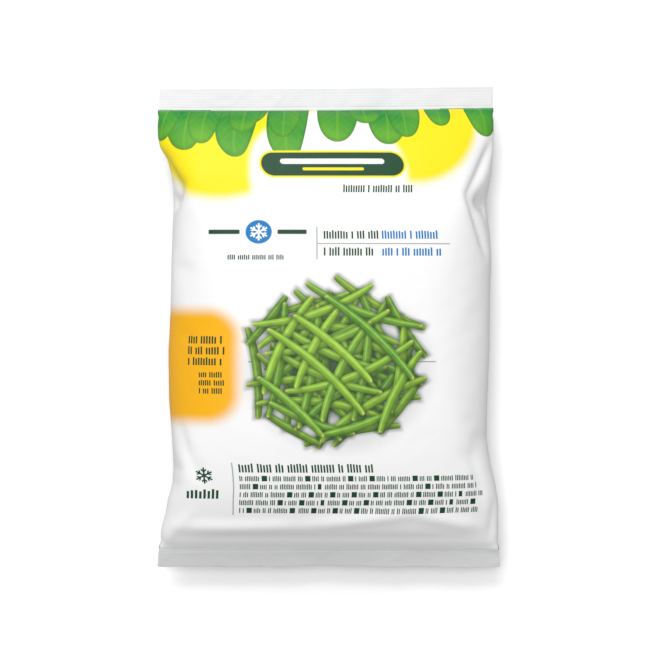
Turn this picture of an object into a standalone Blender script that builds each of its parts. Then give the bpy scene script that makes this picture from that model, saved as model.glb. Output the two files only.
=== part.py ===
"""A sealed pillow bag of frozen whole green beans, lying on its back with its printed front up.

The bag is one piece of film: a tube closed by a lapped seam down its back and by a flat welded seal at
each end. It is narrower where the beans fill it out, and most so at the four places where its sides
buckle. The beans inside are one frozen mass.

Metres, +Z up, +X to the bag's right, +Y to its top seal. The origin is under the middle of the bag, on
the surface that it lies on.
"""

import math
import random

import bmesh
import bpy

# Driving dimensions
BAG_LENGTH = 0.420  # from seal end to seal end, with the beans inside
SEAL_DEPTH = 0.0185  # each welded band, along the bag
FRONT_RISE = 0.049  # the front's crown above the level of the side edges
BACK_DROP = 0.046  # how far the back would hang below them with no table under it
EDGE_LEVEL = 0.038  # the side edges' height above the table
SECTION_POWER = 2.3  # 2 is an ellipse across the bag, more is squarer
SEAL_LEVEL = 0.030  # the seals' height above the table
WALL = 0.0008  # the film, thicker than life so that it holds as a solid
SEAL_THICKNESS = 0.0016  # two layers of film

# How fast the bag fills out from each seal: a higher power gives a fuller end
TOP_FULLNESS = 2.5
BOTTOM_FULLNESS = 3.1
END_ROUNDING = 1.8

# The outline from above: place along the bag, then how far the left and the right edge are from the middle
OUTLINE = (
    (-0.210, 0.1502, 0.1502),
    (-0.199, 0.1502, 0.1502),
    (-0.186, 0.1475, 0.1475),
    (-0.172, 0.1458, 0.1470),
    (-0.158, 0.1423, 0.1475),
    (-0.144, 0.1397, 0.1467),
    (-0.130, 0.1357, 0.1440),
    (-0.117, 0.1353, 0.1414),
    (-0.103, 0.1362, 0.1382),
    (-0.091, 0.1370, 0.1371),
    (-0.065, 0.1388, 0.1379),
    (-0.020, 0.1395, 0.1397),
    (0.024, 0.1375, 0.1400),
    (0.060, 0.1368, 0.1414),
    (0.087, 0.1362, 0.1404),
    (0.104, 0.1353, 0.1371),
    (0.115, 0.1353, 0.1388),
    (0.129, 0.1371, 0.1414),
    (0.143, 0.1415, 0.1423),
    (0.157, 0.1475, 0.1432),
    (0.168, 0.1490, 0.1432),
    (0.190, 0.1490, 0.1432),
    (0.210, 0.1475, 0.1432),
)

# The top seal isn't pulled straight: it waves gently
TOP_WAVE_HEIGHT = 0.0035
TOP_WAVE_LENGTH = 0.150

# The lapped seam down the back
SEAM_WIDTH = 0.014
SEAM_THICKNESS = 0.0008
SEAM_START = 0.001  # its welded edge, just right of the middle
TABLE_CLEARANCE = 0.0003  # it is pressed into the film's own thickness where the bag rests

# Pinholes that let the air out when full bags are stacked
VENT_RADIUS = 0.0011
VENT_PLACES = ((-0.045, 0.150), (-0.045, 0.132), (0.055, 0.141))

# The frozen beans
BEAN_LENGTH = 0.104
BEAN_RADIUS = 0.0048
BEAN_GAP = 0.0045  # clear of the film's inner face, which spans the hollows between beans
BEAN_SIDES = 5
BEAN_TAPER = ((0.0, 0.35), (0.13, 0.85), (0.5, 1.0), (0.87, 0.85), (1.0, 0.35))  # place, share of radius
BEANS_ON_FRONT = 46
BEANS_ON_BACK = 38
BEAN_SPREAD = math.radians(65)  # how far a bean may lie from the bag's long way
BEAN_BEND = math.radians(24)  # the most that one bean curves
BEAN_LAYER = 0.9  # the second layer lies this many radii deeper
CORE_DEPTH = 1.55  # the mass under the outer beans starts this many radii below their backs
BEAN_SEED = 5

# Mesh resolution
SKIN_RINGS = 30
SKIN_SIDES = 44
CORE_RINGS = 14
CORE_SIDES = 20
SEAM_STEPS = 26

HALF_LENGTH = BAG_LENGTH / 2
BODY_HALF = HALF_LENGTH - SEAL_DEPTH
FILM_COLOUR = (0.90, 0.90, 0.89, 1.0)
BEAN_COLOUR = (0.20, 0.42, 0.07, 1.0)


def clear_scene():
    for obj in list(bpy.data.objects):
        bpy.data.objects.remove(obj)


def material(name, colour, roughness):
    made = bpy.data.materials.new(name)
    made.use_nodes = True
    shader = made.node_tree.nodes["Principled BSDF"]
    shader.inputs["Base Color"].default_value = colour
    shader.inputs["Roughness"].default_value = roughness
    shader.inputs["Metallic"].default_value = 0.0
    return made


def smooth(value):
    """0 below 0, 1 above 1, and an even curve between."""
    value = max(0.0, min(1.0, value))
    return value * value * (3 - 2 * value)


def fill(y, inset):
    """How far the bag is filled out at y: 1 at its middle and 0 at the seals, or inset from them."""
    power = TOP_FULLNESS if y > 0 else BOTTOM_FULLNESS
    place = min(1.0, abs(y) / (BODY_HALF - inset))
    return (1 - place**power) ** (1 / END_ROUNDING)


def level(y):
    """The height of the side edges, which comes down to the seals' own."""
    return SEAL_LEVEL + (EDGE_LEVEL - SEAL_LEVEL) * smooth((HALF_LENGTH - abs(y)) / (0.4 * HALF_LENGTH))


def side_edges(y):
    """How far the left and the right edge of the bag are from its middle line at y."""
    for (near, *near_edges), (far, *far_edges) in zip(OUTLINE, OUTLINE[1:]):
        if y <= far:
            break
    share = (y - near) / (far - near)
    return [first + share * (second - first) for first, second in zip(near_edges, far_edges)]


def section(y, inset=0.0):
    """The bag's edges, rise and drop at y, or those of the form that lies inset below its surface."""
    left, right = side_edges(y)
    full = fill(y, inset)
    return left - inset, right - inset, (FRONT_RISE - inset) * full, (BACK_DROP - inset) * full


def top_wave(x, y):
    """The wave of the top seal, which dies out where the beans fill the bag."""
    share = smooth((y - 0.62 * HALF_LENGTH) / (0.3 * HALF_LENGTH))
    return share * TOP_WAVE_HEIGHT * math.cos(2 * math.pi * (x - 0.02) / TOP_WAVE_LENGTH)


def skin_point(angle, y, inset=0.0):
    """A point of the outer face, or of the form inset below it. Angle 0 is the right edge, 90 the front."""
    left, right, rise, drop = section(y, inset)
    across, up = math.cos(angle), math.sin(angle)
    edge = right if across > 0 else -left
    x = edge * abs(across) ** (2 / SECTION_POWER)
    flat = 1 - smooth((BODY_HALF - abs(y)) / 0.02)
    power = (1 - 0.65 * flat) * 2 / SECTION_POWER
    lift = math.copysign(abs(up) ** power, up)
    thickness = SEAL_THICKNESS / 2 if not inset else 0.0
    height = (rise if up > 0 else drop) + thickness
    table = WALL if inset else 0.0
    return x, y, max(table, level(y) + top_wave(x, y) + height * lift)


def ring_places(reach, count):
    """Places along the bag, closer together towards its ends."""
    for step in range(count + 1):
        share = 2 * step / count - 1
        yield reach * (0.5 * share + 0.5 * math.sin(share * math.pi / 2))


def capped(form, ring):
    """Ends a form with one flat face."""
    form.faces.new(ring)


def lapped(form, ring):
    """Ends a form with a strip of faces from its front to its back, which suits a thin, wavy end."""
    sides = len(ring)
    for side in range(sides // 2):
        front = (ring[side], ring[side + 1])
        back = (ring[(sides - side - 1) % sides], ring[(sides - side) % sides])
        form.faces.new(dict.fromkeys((*front, *back)))


def ringed_object(name, rings, end):
    """An object that is closed round its rings of points, and by end at its first and its last ring."""
    form = bmesh.new()
    rings = [[form.verts.new(point) for point in ring] for ring in rings]
    for near, far in zip(rings, rings[1:]):
        for side in range(len(near)):
            after = (side + 1) % len(near)
            form.faces.new((near[side], near[after], far[after], far[side]))
    end(form, rings[0])
    end(form, rings[-1])
    bmesh.ops.recalc_face_normals(form, faces=form.faces)
    mesh = bpy.data.meshes.new(name)
    form.to_mesh(mesh)
    form.free()
    return bpy.data.objects.new(name, mesh)


def tube(name, places, sides, point):
    """A form through rings of points round the bag, one at each place along it."""
    angles = [2 * math.pi * side / sides for side in range(sides)]
    obj = ringed_object(name, [[point(angle, y) for angle in angles] for y in places], lapped)
    bpy.context.scene.collection.objects.link(obj)
    return obj


def helper(obj):
    """Marks a cutter or a filler that isn't a piece of the bag."""
    obj.hide_render = True
    obj.display_type = "WIRE"
    return obj


def bulge(x, left, right):
    """The share of a section's rise or drop that is left at x."""
    share = min(1.0, x / right if x > 0 else -x / left)
    return (1 - share**SECTION_POWER) ** (1 / SECTION_POWER)


def back_height(x, y):
    """The height of the film's outer face under a place on the back."""
    left, right, _, drop = section(y)
    return max(0.0, level(y) + top_wave(x, y) - (drop + SEAL_THICKNESS / 2) * bulge(x, left, right))


def seam_strip():
    """The lap of the back seam: a flat strip that follows the back from end to end."""
    reach = HALF_LENGTH - 0.0002
    left, right = SEAM_START, SEAM_START + SEAM_WIDTH
    rings = []
    for step in range(SEAM_STEPS + 1):
        y = -reach + 2 * reach * step / SEAM_STEPS
        heights = [back_height(x, y) for x in (left, right)]
        under = [max(TABLE_CLEARANCE, height - SEAM_THICKNESS) for height in heights]
        over = [max(2 * TABLE_CLEARANCE, height + SEAM_THICKNESS / 2) for height in heights]
        rings.append([(left, y, under[0]), (right, y, under[1]), (right, y, over[1]), (left, y, over[0])])
    obj = ringed_object("seam_strip", rings, capped)
    bpy.context.scene.collection.objects.link(obj)
    return helper(obj)


def vent_cutter(number, x, y):
    """A pin through the back's film, into the bag's hollow."""
    bpy.ops.mesh.primitive_cylinder_add(
        vertices=8, radius=VENT_RADIUS, depth=0.012, location=(x, y, back_height(x, y))
    )
    obj = bpy.context.object
    obj.name = f"vent_cutter_{number}"
    return helper(obj)


def boolean(obj, other, operation):
    modifier = obj.modifiers.new(f"{operation.lower()}_{other.name}", "BOOLEAN")
    modifier.operation = operation
    modifier.solver = "EXACT"
    modifier.object = other


def hollow_point(angle, y):
    """A point of the film's inner face."""
    return skin_point(angle, y, WALL)


def film_bag():
    """The film: its outer form, the lapped seam, the hollow for the beans and the vents."""
    ends = (HALF_LENGTH, BODY_HALF + 0.0005)
    rings = list(ring_places(BODY_HALF - 0.001, SKIN_RINGS))
    places = [-end for end in ends] + rings + list(reversed(ends))
    bag = tube("film_bag", places, SKIN_SIDES, skin_point)
    reach = BODY_HALF - 0.003
    hollow = [-reach, *rings[1:-1], reach]
    boolean(bag, seam_strip(), "UNION")
    boolean(bag, helper(tube("hollow_cutter", hollow, SKIN_SIDES, hollow_point)), "DIFFERENCE")
    for number, (x, y) in enumerate(VENT_PLACES, 1):
        boolean(bag, vent_cutter(number, x, y), "DIFFERENCE")
    bag.data.materials.append(material("white_film", FILM_COLOUR, 0.35))
    bag.data.shade_smooth()
    bag.data.set_sharp_from_angle(angle=math.radians(35))
    return bag


def bean_layer_height(x, y, depth, on_front):
    """The height of a bean's middle line that lies this deep below the film, over or under (x, y)."""
    left, right, rise, drop = section(y, depth)
    up = bulge(x, left, right)
    return level(y) + rise * up if on_front else max(depth, level(y) - drop * up)


def in_layer(x, y, depth):
    """True where a bean that deep has room over its whole thickness."""
    left, right, rise, _ = section(y, depth)
    return -0.93 * left < x < 0.93 * right and rise > 0.45 * FRONT_RISE


def bean_line(draw, depth, on_front):
    """Points down the middle of one bean that lies just under the film, or None where it has no room."""
    heading = math.pi / 2 + draw.uniform(-BEAN_SPREAD, BEAN_SPREAD)
    bend = draw.uniform(-BEAN_BEND, BEAN_BEND)
    length = BEAN_LENGTH * draw.uniform(0.8, 1.1)
    middle_x = draw.uniform(-0.125, 0.125)
    middle_y = draw.uniform(-0.165, 0.165)
    line = []
    for place, share in BEAN_TAPER:
        along = (place - 0.5) * length
        turned = heading + bend * (place - 0.5)
        x = middle_x + along * math.cos(turned)
        y = middle_y + along * math.sin(turned)
        if not in_layer(x, y, depth):
            return None
        line.append((x, y, bean_layer_height(x, y, depth, on_front), share))
    return line, heading


def bean(number, line, heading):
    """One bean: a tube of a few sides, thinner at its tips."""
    side_x, side_y = -math.sin(heading), math.cos(heading)
    turns = [2 * math.pi * side / BEAN_SIDES + 0.4 * number for side in range(BEAN_SIDES)]
    rings = []
    for x, y, z, share in line:
        radius = BEAN_RADIUS * share
        ring = []
        for turn in turns:
            out = radius * math.cos(turn)
            ring.append((x + out * side_x, y + out * side_y, z + radius * math.sin(turn)))
        rings.append(ring)
    return ringed_object(f"bean_{number}", rings, capped)


def keep_outer_surface(mesh):
    """Drops the sealed pockets that are left between crossing beans, which are surfaces of their own."""
    form = bmesh.new()
    form.from_mesh(mesh)
    unseen = set(form.verts)
    surfaces = []
    while unseen:
        surface = set()
        edge = {unseen.pop()}
        while edge:
            surface |= edge
            edge = {link.other_vert(vert) for vert in edge for link in vert.link_edges} - surface
        unseen -= surface
        surfaces.append(surface)
    surfaces.sort(key=len)
    for pocket in surfaces[:-1]:
        bmesh.ops.delete(form, geom=list(pocket), context="VERTS")
    form.to_mesh(mesh)
    form.free()


def core_point(angle, y):
    """A point of the mass that the outer beans are frozen to."""
    depth = WALL + BEAN_GAP + CORE_DEPTH * BEAN_RADIUS
    x, y, z = skin_point(angle, y, depth)
    return x, y, max(z, depth)


def frozen_beans():
    """The contents: whole beans frozen to each other and to the mass under them, as one body."""
    reach = BODY_HALF - 3.2 * BEAN_RADIUS
    beans = tube("frozen_beans", ring_places(reach, CORE_RINGS), CORE_SIDES, core_point)
    loose = bpy.data.collections.new("loose_beans")
    bpy.context.scene.collection.children.link(loose)
    draw = random.Random(BEAN_SEED)
    placed = 0
    for on_front, wanted in ((True, BEANS_ON_FRONT), (False, BEANS_ON_BACK)):
        made = 0
        while made < wanted:
            radii = 1 + BEAN_LAYER * (made % 2)
            found = bean_line(draw, WALL + BEAN_GAP + radii * BEAN_RADIUS, on_front)
            if found:
                loose.objects.link(bean(placed, *found))
                made += 1
                placed += 1
    union = beans.modifiers.new("fuse_beans", "BOOLEAN")
    union.operation = "UNION"
    union.operand_type = "COLLECTION"
    union.solver = "MANIFOLD"
    union.collection = loose
    bpy.context.view_layer.update()
    graph = bpy.context.evaluated_depsgraph_get()
    fused = bpy.data.meshes.new_from_object(beans.evaluated_get(graph))
    keep_outer_surface(fused)
    beans.modifiers.clear()
    beans.data = fused
    for obj in list(loose.objects):
        bpy.data.objects.remove(obj)
    bpy.data.collections.remove(loose)
    beans.data.materials.clear()
    beans.data.materials.append(material("frozen_green_bean", BEAN_COLOUR, 0.55))
    return beans


def main():
    clear_scene()
    film_bag()
    frozen_beans()


main()
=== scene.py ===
import math

import bmesh
import bpy
import numpy as np
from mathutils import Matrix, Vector


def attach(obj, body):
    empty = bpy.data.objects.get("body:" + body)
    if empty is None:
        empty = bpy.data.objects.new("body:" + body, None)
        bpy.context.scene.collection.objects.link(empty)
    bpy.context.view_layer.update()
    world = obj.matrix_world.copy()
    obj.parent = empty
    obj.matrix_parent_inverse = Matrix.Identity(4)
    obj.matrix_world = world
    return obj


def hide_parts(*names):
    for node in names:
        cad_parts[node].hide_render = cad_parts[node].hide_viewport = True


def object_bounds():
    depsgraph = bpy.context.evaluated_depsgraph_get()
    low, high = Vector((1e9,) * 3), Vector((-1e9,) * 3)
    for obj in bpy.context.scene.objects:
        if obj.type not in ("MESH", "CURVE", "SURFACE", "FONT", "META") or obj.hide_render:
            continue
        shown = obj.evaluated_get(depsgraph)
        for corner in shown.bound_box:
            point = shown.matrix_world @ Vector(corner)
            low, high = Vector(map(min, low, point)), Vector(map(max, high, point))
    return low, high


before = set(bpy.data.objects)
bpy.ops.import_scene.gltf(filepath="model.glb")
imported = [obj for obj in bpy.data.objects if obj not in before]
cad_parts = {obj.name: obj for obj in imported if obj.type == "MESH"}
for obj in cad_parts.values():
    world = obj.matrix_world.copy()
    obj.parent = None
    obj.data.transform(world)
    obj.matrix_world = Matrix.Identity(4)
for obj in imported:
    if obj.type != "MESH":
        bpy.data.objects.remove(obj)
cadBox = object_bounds()
print("frame loaded")


# small helpers for nodes and meshes

def addNode(tree, kind, inputs=None, **settings):
    made = tree.nodes.new(kind)
    for name, value in settings.items():
        setattr(made, name, value)
    for socket, value in (inputs or {}).items():
        if isinstance(value, bpy.types.NodeSocket):
            tree.links.new(value, made.inputs[socket])
        else:
            made.inputs[socket].default_value = value
    return made


def calc(tree, operation, *values, clamp=False):
    return addNode(tree, "ShaderNodeMath", dict(enumerate(values)), operation=operation, use_clamp=clamp).outputs[0]


def mathNode(operation):
    # a short name for one kind of Math node
    return lambda tree, *values, **more: calc(tree, operation, *values, **more)


plus, minus, times, divided = map(mathNode, ("ADD", "SUBTRACT", "MULTIPLY", "DIVIDE"))
sizeOf, scaled, largest = map(mathNode, ("ABSOLUTE", "MULTIPLY_ADD", "MAXIMUM"))
isBelow, isAbove, floorOf, raised = map(mathNode, ("LESS_THAN", "GREATER_THAN", "FLOOR", "POWER"))


def length2d(tree, a, b):
    return calc(tree, "SQRT", plus(tree, times(tree, a, a), times(tree, b, b)))


def vector(tree, *parts):
    return addNode(tree, "ShaderNodeCombineXYZ", dict(enumerate(parts))).outputs[0]


def grey(tree, value):
    return addNode(tree, "ShaderNodeCombineColor", {0: value, 1: value, 2: value}).outputs[0]


def noise(tree, place, scale, detail, **more):
    inputs = {"Vector": place, "Scale": scale, "Detail": detail, **more}
    return addNode(tree, "ShaderNodeTexNoise", inputs).outputs["Fac"]


def threeDraws(tree, item, seed):
    # three numbers from 0 to 1 that belong to one bean or leaf
    spots = {"Vector": vector(tree, item, seed)}
    colour = addNode(tree, "ShaderNodeTexWhiteNoise", spots, noise_dimensions="2D").outputs["Color"]
    return addNode(tree, "ShaderNodeSeparateColor", {0: colour}).outputs


def ramp(tree, value, start, end, low=0.0, high=1.0):
    # value runs from start to end, the result from low to high
    inputs = {"Value": value, "From Min": start, "From Max": end, "To Min": low, "To Max": high}
    return addNode(tree, "ShaderNodeMapRange", inputs, interpolation_type="SMOOTHSTEP").outputs[0]


def mixColour(tree, share, under, over, blend="MIX"):
    made = addNode(tree, "ShaderNodeMix", {0: share, 6: under, 7: over}, data_type="RGBA", blend_type=blend)
    return made.outputs[2]


def newGroup(name, ins, outs):
    tree = bpy.data.node_groups.new(name, "ShaderNodeTree")
    kinds = {"number": "NodeSocketFloat", "vector": "NodeSocketVector", "colour": "NodeSocketColor"}
    for label, kind in ins.items():
        tree.interface.new_socket(label, in_out="INPUT", socket_type=kinds[kind])
    for label, kind in outs.items():
        tree.interface.new_socket(label, in_out="OUTPUT", socket_type=kinds[kind])
    return tree, tree.nodes.new("NodeGroupInput").outputs, tree.nodes.new("NodeGroupOutput").inputs


def useGroup(tree, group, **inputs):
    made = tree.nodes.new("ShaderNodeGroup")
    made.node_tree = group
    for name, value in inputs.items():
        label = name[0].upper() + "".join(" " + c.lower() if c.isupper() else c for c in name[1:])
        if isinstance(value, bpy.types.NodeSocket):
            tree.links.new(value, made.inputs[label])
        else:
            made.inputs[label].default_value = value
    return made.outputs


def newMaterial(name):
    made = bpy.data.materials.new(name)
    made.use_nodes = True
    return made, made.node_tree, made.node_tree.nodes["Principled BSDF"]


def rgb(red, green, blue):
    # screen values from 0 to 255 as Blender's linear colour
    return (*[((c / 255 + 0.055) / 1.055) ** 2.4 if c > 10 else c / 3294.6 for c in (red, green, blue)], 1.0)


# camera, light and floor

viewSetup = {
    "lens": 151.0,
    "height": 2.425,
    "aim": (-0.0017, 0.0004),  # the bag lies a little right of the picture's middle
    "keyPlace": (-0.5, 2.05, 2.0),
    "keySize": 1.6,
    "keyPower": 60.0,
    "fillPlace": (-0.1, 0.0, 3.0),
    "fillSize": 1.8,
    "fillPower": 40.0,
    "skyStrength": 0.53,
    "floorColour": rgb(248, 248, 248),
    "floorBounce": (0.5, 0.5, 0.5, 1),  # what the floor throws back on the bag
}


def aimAt(obj, target):
    obj.rotation_euler = (Vector(target) - obj.location).to_track_quat("-Z", "Y").to_euler()


def makeView():
    scene = bpy.context.scene
    lens = bpy.data.cameras.new("photoCamera")
    lens.lens = viewSetup["lens"]
    camera = bpy.data.objects.new("photoCamera", lens)
    camera.location = (*viewSetup["aim"], viewSetup["height"])
    scene.collection.objects.link(camera)
    scene.camera = camera
    for name in ("key", "fill"):
        light = bpy.data.lights.new(name + "Light", "AREA")
        light.size = viewSetup[name + "Size"]
        light.energy = viewSetup[name + "Power"]
        lamp = bpy.data.objects.new(name + "Light", light)
        lamp.location = viewSetup[name + "Place"]
        aimAt(lamp, (0, 0, 0))
        scene.collection.objects.link(lamp)
    world = bpy.data.worlds.new("studio")
    world.use_nodes = True
    world.node_tree.nodes["Background"].inputs[0].default_value = (1, 1, 1, 1)
    world.node_tree.nodes["Background"].inputs[1].default_value = viewSetup["skyStrength"]
    scene.world = world
    scene.view_settings.view_transform = "Standard"
    bpy.ops.mesh.primitive_plane_add(size=12)
    floor = bpy.context.object
    floor.name = "studioFloor"
    material, tree, shader = newMaterial("paleFloor")
    seen = addNode(tree, "ShaderNodeLightPath").outputs["Is Camera Ray"]
    colour = mixColour(tree, seen, viewSetup["floorBounce"], viewSetup["floorColour"])
    tree.links.new(colour, shader.inputs["Base Color"])
    shader.inputs["Roughness"].default_value = 0.9
    floor.data.materials.append(material)


makeView()
print("view and floor made")


# the film: a flat tube of film, filled and dropped on the floor

film = {
    "tubeWidth": 0.302,  # the empty tube laid flat
    "cutLength": 0.440,
    "sealDepth": 0.0195,
    "cell": 0.005,  # of the cloth
    "steps": 48,
    "content": 0.0062,  # cubic metres of beans and air
    "firmness": 40.0,
    "pressure": 0.1,
    "contentWeight": 0.3,
    "stretch": 30.0,
    "bend": 6.0,
    "pointMass": 0.0003,
    "quality": 8,
    "damping": 5.0,
    "bendDamping": 0.5,
    "airDrag": 2.0,
    "gap": 0.001,  # that the solver keeps from film to film and to the floor
    "friction": 15.0,
    "frontRise": 0.045,  # the starting form
    "backDrop": 0.043,
    "edgeLevel": 0.034,
    "sectionPower": 2.4,
    "sealLevel": 0.028,
    "topFullness": 2.5,  # a higher power gives a fuller end
    "lowFullness": 3.1,
    "endRounding": 1.8,
    "endEase": 0.4,  # share of half the bag over which the side edges rise
    "clearance": 0.002,  # above the floor
    "halfThickness": 0.0003,
    "innerDepth": 0.0006,  # how far the inner face lies below the outer one
    "wobble": 0.0002,
    "seed": 3,
    "smoothing": 2,  # passes that take out the ripple of single cloth cells
    "lowSealDroop": 26,  # degrees
    # creases and ridges: start and end on the front in flat millimetres, width, and depth (minus is a ridge)
    "folds": (
        (143, 170, 114, 119, 4.5, 3.8), (114, 119, 134, 66, 4.5, 3.3), (124, 116, 150, 106, 8, 3.7),
        (-146, 160, -128, 121, 6, 2.0), (-128, 118, -150, 112, 7, 3.0),
        (-127, -84, -108, -138, 6, 1.8), (-118, -165, -144, -196, 5, -1.6),
        (118, -113, 118, -113, 10, 2.0), (119, -116, 126, -155, 5, 1.6), (138, -156, 139, -192, 4, 1.5),
        (-130, -180, -20, -177, 6, -2.8), (-20, -177, 70, -166, 6, -3.0), (70, -166, 124, -179, 6, -2.8),
        (-125, -193, 125, -193, 8, 3.4),
    ),
}


def solidEdges(places):
    # left and right edge of the CAD film at places along the bag
    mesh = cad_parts["film_bag"].data
    points = np.empty(len(mesh.vertices) * 3)
    mesh.vertices.foreach_get("co", points)
    points = points.reshape(-1, 3)
    ends = np.array([edge.vertices[:] for edge in mesh.edges])
    near, far = points[ends[:, 0]], points[ends[:, 1]]
    left, right = [], []
    for place in places:
        crossing = (near[:, 1] - place) * (far[:, 1] - place) <= 0
        crossing &= np.abs(near[:, 1] - far[:, 1]) > 1e-7
        share = (place - near[crossing, 1]) / (far[crossing, 1] - near[crossing, 1])
        x = near[crossing, 0] + share * (far[crossing, 0] - near[crossing, 0])
        left.append(x.min())
        right.append(x.max())
    return np.array(left), np.array(right)


def sectionHalf(left, right, level, height, count):
    # evenly spaced points from the left edge over (or under) the bag to the right edge
    angle = np.linspace(math.pi, 0, 241)
    across, up = np.cos(angle), np.sin(angle)
    power = 2 / film["sectionPower"]
    x = (left + right) / 2 + (right - left) / 2 * np.sign(across) * np.abs(across) ** power
    z = np.maximum(level + height * np.abs(up) ** power, film["clearance"])
    length = np.concatenate([[0], np.cumsum(np.hypot(np.diff(x), np.diff(z)))])
    even = np.linspace(0, length[-1], count)
    return np.interp(even, length, x), np.interp(even, length, z)


def startRows():
    # for each row of the cloth: its place on the flat film, and its front and back points
    half = film["cutLength"] / 2
    bodyFlat = half - film["sealDepth"]
    span = (cadBox[1][1] - cadBox[0][1]) / 2
    body = span - film["sealDepth"]
    across = round(film["tubeWidth"] / film["cell"])
    along = round(2 * bodyFlat / film["cell"])
    inSeal = round(film["sealDepth"] / film["cell"])
    seal = [half - film["sealDepth"] * step / inSeal for step in range(inSeal)]
    flat = [-v for v in seal] + [-bodyFlat + 2 * bodyFlat * step / along for step in range(along + 1)] + seal[::-1]
    spans = [v * body / bodyFlat if abs(v) <= bodyFlat else math.copysign(body + abs(v) - bodyFlat, v) for v in flat]
    left, right = solidEdges(np.clip(spans, -span + 0.0005, span - 0.0005))
    draw = np.random.default_rng(film["seed"])
    front, back = [], []
    for row, y in enumerate(spans):
        share = min(1.0, abs(y) / body)
        fullness = film["topFullness"] if y > 0 else film["lowFullness"]
        full = (1 - share**fullness) ** (1 / film["endRounding"])
        ease = min(1.0, (span - abs(y)) / (film["endEase"] * span))
        level = film["sealLevel"] + (film["edgeLevel"] - film["sealLevel"]) * ease * ease * (3 - 2 * ease)
        over = sectionHalf(left[row], right[row], level, film["frontRise"] * full, across + 1)
        under = sectionHalf(left[row], right[row], level, -film["backDrop"] * full, across + 1)
        shake = (draw.random(across + 1) - 0.5) * 2 * film["wobble"]
        front.append(np.column_stack([over[0], np.full(across + 1, y), over[1] + shake]))
        back.append(np.column_stack([under[0], np.full(across + 1, y), under[1]]))
    return np.array(flat), np.array(front), np.array(back), inSeal, along


def clothObject(flat, front, back, inSeal, along):
    # seals are one layer, the body is a front and a back that share their side edges
    width, flatLevel = film["tubeWidth"], 0.03
    across = front.shape[1] - 1
    mesh = bpy.data.meshes.new("filmCloth")
    build = bmesh.new()
    resting, frontIds, backIds = [], [], []
    for row, v in enumerate(flat):
        points = [build.verts.new(point) for point in front[row]]
        resting += [(-width / 2 + width * i / across, v, flatLevel) for i in range(across + 1)]
        frontIds.append(points)
        if inSeal < row < inSeal + along:
            middle = [build.verts.new(point) for point in back[row][1:-1]]
            resting += [(-width / 2 + width * i / across, v, flatLevel) for i in range(1, across)]
            backIds.append([points[0], *middle, points[-1]])
        else:
            backIds.append(points)
    for row in range(len(flat) - 1):
        for i in range(across):
            build.faces.new((frontIds[row][i], frontIds[row][i + 1], frontIds[row + 1][i + 1], frontIds[row + 1][i]))
            if inSeal <= row < inSeal + along:
                build.faces.new((backIds[row][i], backIds[row + 1][i], backIds[row + 1][i + 1], backIds[row][i + 1]))
    build.verts.index_update()
    frontIds = np.array([[point.index for point in points] for points in frontIds])
    backIds = np.array([[point.index for point in points] for points in backIds])
    build.to_mesh(mesh)
    build.free()
    obj = bpy.data.objects.new("filmCloth", mesh)
    bpy.context.scene.collection.objects.link(obj)
    body = slice(inSeal, inSeal + along + 1)
    filled = obj.vertex_groups.new(name="filled")
    bodyIds = np.unique(np.concatenate([frontIds[body].ravel(), backIds[body].ravel()]))
    filled.add(bodyIds.tolist(), 1.0, "REPLACE")
    obj.shape_key_add(name="Basis")
    cut = obj.shape_key_add(name="cutFlat")
    for i, place in enumerate(resting):
        cut.data[i].co = place
    return obj, cut, frontIds, backIds


def dropFilm(obj, cut):
    # Blender's cloth with the beans and air as a weighted filling
    cloth = obj.modifiers.new("filmDrop", "CLOTH")
    setup = cloth.settings
    setup.quality = film["quality"]
    setup.mass = film["pointMass"]
    setup.tension_stiffness = setup.compression_stiffness = film["stretch"]
    setup.shear_stiffness = film["stretch"] / 2
    setup.bending_stiffness = film["bend"]
    setup.tension_damping = setup.compression_damping = setup.shear_damping = film["damping"]
    setup.bending_damping = film["bendDamping"]
    setup.air_damping = film["airDrag"]
    setup.use_pressure = True
    setup.uniform_pressure_force = film["pressure"]
    setup.vertex_group_pressure = "filled"
    setup.use_pressure_volume = True
    setup.target_volume = film["content"]
    setup.pressure_factor = film["firmness"]
    setup.fluid_density = film["contentWeight"]
    setup.rest_shape_key = cut
    cloth.collision_settings.distance_min = film["gap"]
    cloth.collision_settings.collision_quality = 3
    bpy.ops.mesh.primitive_plane_add(size=2)
    ground = bpy.context.object
    ground.modifiers.new("ground", "COLLISION")
    ground.collision.thickness_outer = film["gap"]
    ground.collision.cloth_friction = film["friction"]
    cloth.point_cache.frame_end = film["steps"]
    for step in range(1, film["steps"] + 1):
        bpy.context.scene.frame_set(step)
    graph = bpy.context.evaluated_depsgraph_get()
    settled = obj.evaluated_get(graph).to_mesh()
    points = np.empty(len(settled.vertices) * 3)
    settled.vertices.foreach_get("co", points)
    bpy.context.scene.frame_set(1)
    bpy.data.objects.remove(ground)
    bpy.data.objects.remove(obj)
    return points.reshape(-1, 3)


def sampleAlong(grid, places, closed):
    # Catmull-Rom along the first axis, at fractional places
    count = len(grid)
    base = np.floor(places).astype(int)
    if not closed:
        base = np.minimum(base, count - 2)
    share = (places - base)[:, None, None]
    spots = [base + step for step in (-1, 0, 1, 2)]
    spots = [spot % count if closed else np.clip(spot, 0, count - 1) for spot in spots]
    a, b, c, d = (grid[spot] for spot in spots)
    return 0.5 * (2 * b + (c - a) * share + (2 * a - 5 * b + 4 * c - d) * share**2 + (3 * b - a - 3 * c + d) * share**3)


def ringNormals(rings):
    # outward, from the neighbours round the ring and along the bag
    around = np.roll(rings, -1, axis=1) - np.roll(rings, 1, axis=1)
    along = np.empty_like(rings)
    along[1:-1] = rings[2:] - rings[:-2]
    along[0], along[-1] = rings[1] - rings[0], rings[-1] - rings[-2]
    normals = np.cross(around, along)
    length = np.linalg.norm(normals, axis=2, keepdims=True)
    return np.where(length > 1e-9, normals / np.maximum(length, 1e-9), 0.0)


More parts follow.
